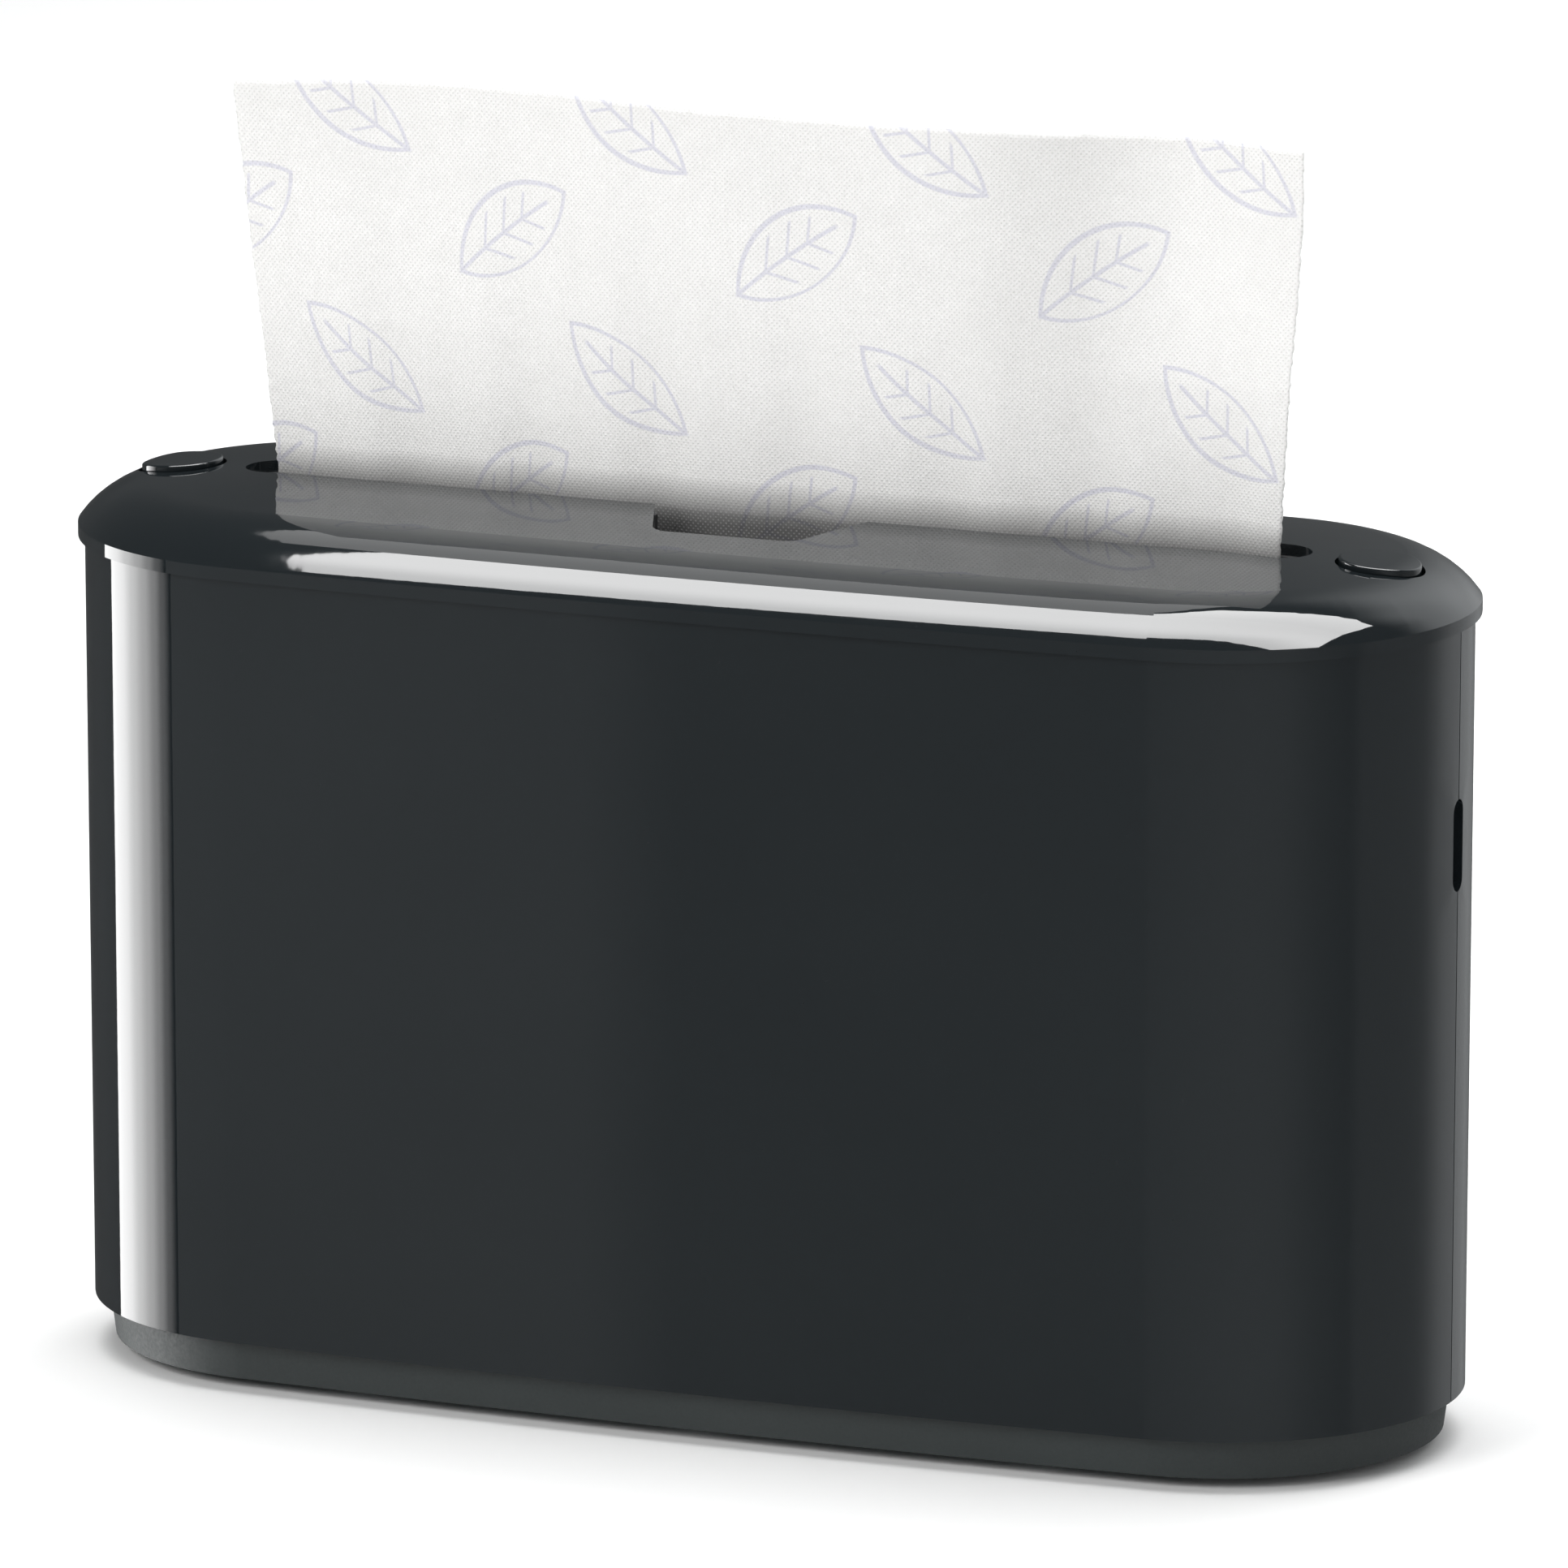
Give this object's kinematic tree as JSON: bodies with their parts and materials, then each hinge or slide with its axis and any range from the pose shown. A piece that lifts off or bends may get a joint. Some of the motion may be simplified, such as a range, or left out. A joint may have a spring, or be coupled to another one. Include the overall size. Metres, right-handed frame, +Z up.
{
  "type": "folded hand towel dispenser",
  "caption": "Counter-top dispenser for folded paper hand towels: tall stadium case, domed lift-off lid with a long top slot, push buttons at both ends and a sprung lift inside.",
  "frame": {"origin": "on the table, under the middle of the case", "axes": "+X along the case to the right, -Y to the front, +Z up; the front is the side with the finger notch"},
  "size_m": [0.322, 0.116, 0.2865],
  "materials": {
    "gloss_black": "polished, faint dust",
    "plinth_black": "fine satin",
    "inner_black": "as moulded",
    "lever_grey": "as moulded",
    "lift_grey": "as moulded",
    "acetal_white": "as moulded",
    "flag_orange": "as moulded",
    "foot_rubber": "matt",
    "spring_steel": "rolled",
    "zinc_steel": "zinc plated",
    "pin_steel": "ground",
    "towel_paper": "embossed tissue with a faint printed leaf"
  },
  "bodies": {
    "case": {"base_plinth": "plinth_black", "front_shell": "gloss_black", "rear_shell": "gloss_black", "guide_column_left": "inner_black", "guide_column_right": "inner_black", "keeper_clip_left": "spring_steel", "keeper_clip_right": "spring_steel", "rubber_feet": "foot_rubber", "base_screws": "zinc_steel", "column_screws": "zinc_steel", "keeper_screws": "zinc_steel", "spring_strip_left": "spring_steel", "spring_strip_right": "spring_steel", "strip_rivets": "zinc_steel", "towel_stack": "towel_paper", "feed_sheet": "towel_paper"},
    "lid": {"lid_cover": "gloss_black", "slot_throat": "inner_black", "throat_screws": "zinc_steel", "latch_bracket_left": "inner_black", "latch_bracket_right": "inner_black", "bracket_screws": "zinc_steel", "latch_pin_left": "pin_steel", "latch_pin_right": "pin_steel", "button_spring_left": "spring_steel", "button_spring_right": "spring_steel"},
    "button_left": {"release_button_left": "gloss_black"},
    "button_right": {"release_button_right": "gloss_black"},
    "lever_left": {"latch_lever_left": "lever_grey"},
    "lever_right": {"latch_lever_right": "lever_grey"},
    "lift": {"lift_platform": "lift_grey", "glide_shoe_left": "acetal_white", "glide_shoe_right": "acetal_white", "level_flag_left": "flag_orange", "level_flag_right": "flag_orange", "drum_axle_left": "pin_steel", "drum_axle_right": "pin_steel"},
    "drum_left": {"spring_drum_left": "acetal_white", "spring_coil_left": "spring_steel"},
    "drum_right": {"spring_drum_right": "acetal_white", "spring_coil_right": "spring_steel"}
  },
  "joints": [
    {"name": "lid_lift", "type": "slide", "parent": "case", "child": "lid", "axis": [0, 0, 1], "range_m": [0, 0.03], "deforming": ["keeper_clip_left", "keeper_clip_right"]},
    {"name": "platform_lift", "type": "slide", "parent": "case", "child": "lift", "axis": [0, 0, 1], "range_m": [0, 0.125], "deforming": ["towel_stack", "spring_strip_left", "spring_strip_right"]},
    {"name": "button_left_press", "type": "slide", "parent": "lid", "child": "button_left", "axis": [0, 0, -1], "range_m": [0, 0.003], "stiffness_N_per_m": 600, "springref_m": -0.002, "deforming": ["button_spring_left"]},
    {"name": "latch_left_swing", "type": "hinge", "parent": "lid", "child": "lever_left", "pos_m": [-0.131, 0, 0.181], "axis": [0, -1, 0], "range_deg": [0, 19]},
    {"name": "drum_left_spin", "type": "hinge", "parent": "lift", "child": "drum_left", "pos_m": [-0.122, 0, 0.029], "axis": [0, -1, 0], "range_deg": [0, 800]},
    {"name": "button_right_press", "type": "slide", "parent": "lid", "child": "button_right", "axis": [0, 0, -1], "range_m": [0, 0.003], "stiffness_N_per_m": 600, "springref_m": -0.002, "deforming": ["button_spring_right"]},
    {"name": "latch_right_swing", "type": "hinge", "parent": "lid", "child": "lever_right", "pos_m": [0.131, 0, 0.181], "axis": [0, 1, 0], "range_deg": [0, 19]},
    {"name": "drum_right_spin", "type": "hinge", "parent": "lift", "child": "drum_right", "pos_m": [0.122, 0, 0.029], "axis": [0, 1, 0], "range_deg": [0, 800]}
  ],
  "couplings": [
    {"joint": "latch_left_swing", "follows": "button_left_press", "rad_per_m": 110},
    {"joint": "drum_left_spin", "follows": "platform_lift", "rad_per_m": 111.11},
    {"joint": "latch_right_swing", "follows": "button_right_press", "rad_per_m": 110},
    {"joint": "drum_right_spin", "follows": "platform_lift", "rad_per_m": 111.11}
  ]
}
